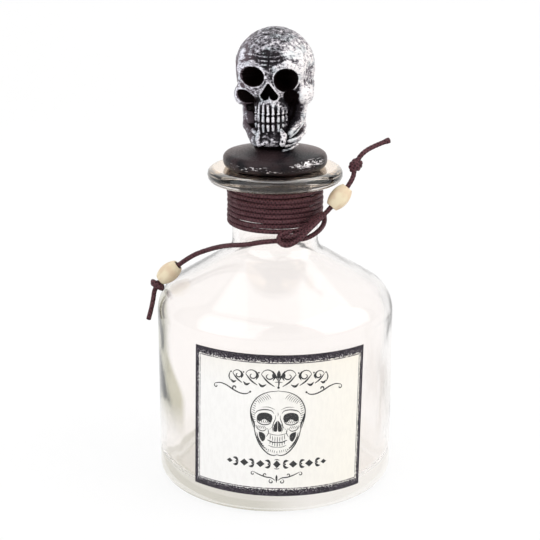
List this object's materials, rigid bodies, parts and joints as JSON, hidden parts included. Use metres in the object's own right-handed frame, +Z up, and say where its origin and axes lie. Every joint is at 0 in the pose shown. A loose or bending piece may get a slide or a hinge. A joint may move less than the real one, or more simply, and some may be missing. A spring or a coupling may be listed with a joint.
{
  "type": "poison bottle",
  "caption": "Clear glass apothecary bottle with a skull-topped cork stopper, a corded neck with wooden beads and a framed front label.",
  "frame": {"origin": "centre of the bottle's foot, on the surface it stands on", "axes": "+Z up the bottle's axis; the label faces -Y; +X to the right of the label"},
  "size_m": [0.1045, 0.1003, 0.1915],
  "materials": {
    "clear_glass": "polished",
    "label_paper": "matte",
    "skull_casting": "satin",
    "disc_casting": "satin",
    "cork": "matte",
    "waxed_cord": "satin",
    "bead_wood": "satin"
  },
  "bodies": {
    "bottle": {"glass_bottle": "clear_glass", "front_label": "label_paper", "neck_winding": "waxed_cord", "tie_knot": "waxed_cord", "left_tail": "waxed_cord", "right_tail": "waxed_cord", "left_end_knot": "waxed_cord", "right_end_knot": "waxed_cord"},
    "stopper": {"skull_finial": "skull_casting", "stopper_disc": "disc_casting", "cork_plug": "cork"},
    "left_bead": {"left_bead": "bead_wood"},
    "right_bead": {"right_bead": "bead_wood"}
  },
  "joints": [
    {"name": "stopper_lift", "type": "slide", "parent": "bottle", "child": "stopper", "axis": [0, 0, 1], "range_m": [0, 0.06]},
    {"name": "left_bead_slide", "type": "slide", "parent": "bottle", "child": "left_bead", "axis": [0.7611, -0.063, 0.6456], "range_m": [0, 0.004]},
    {"name": "right_bead_slide", "type": "slide", "parent": "bottle", "child": "right_bead", "axis": [0.6395, 0.1999, 0.7423], "range_m": [-0.002, 0.003]}
  ]
}
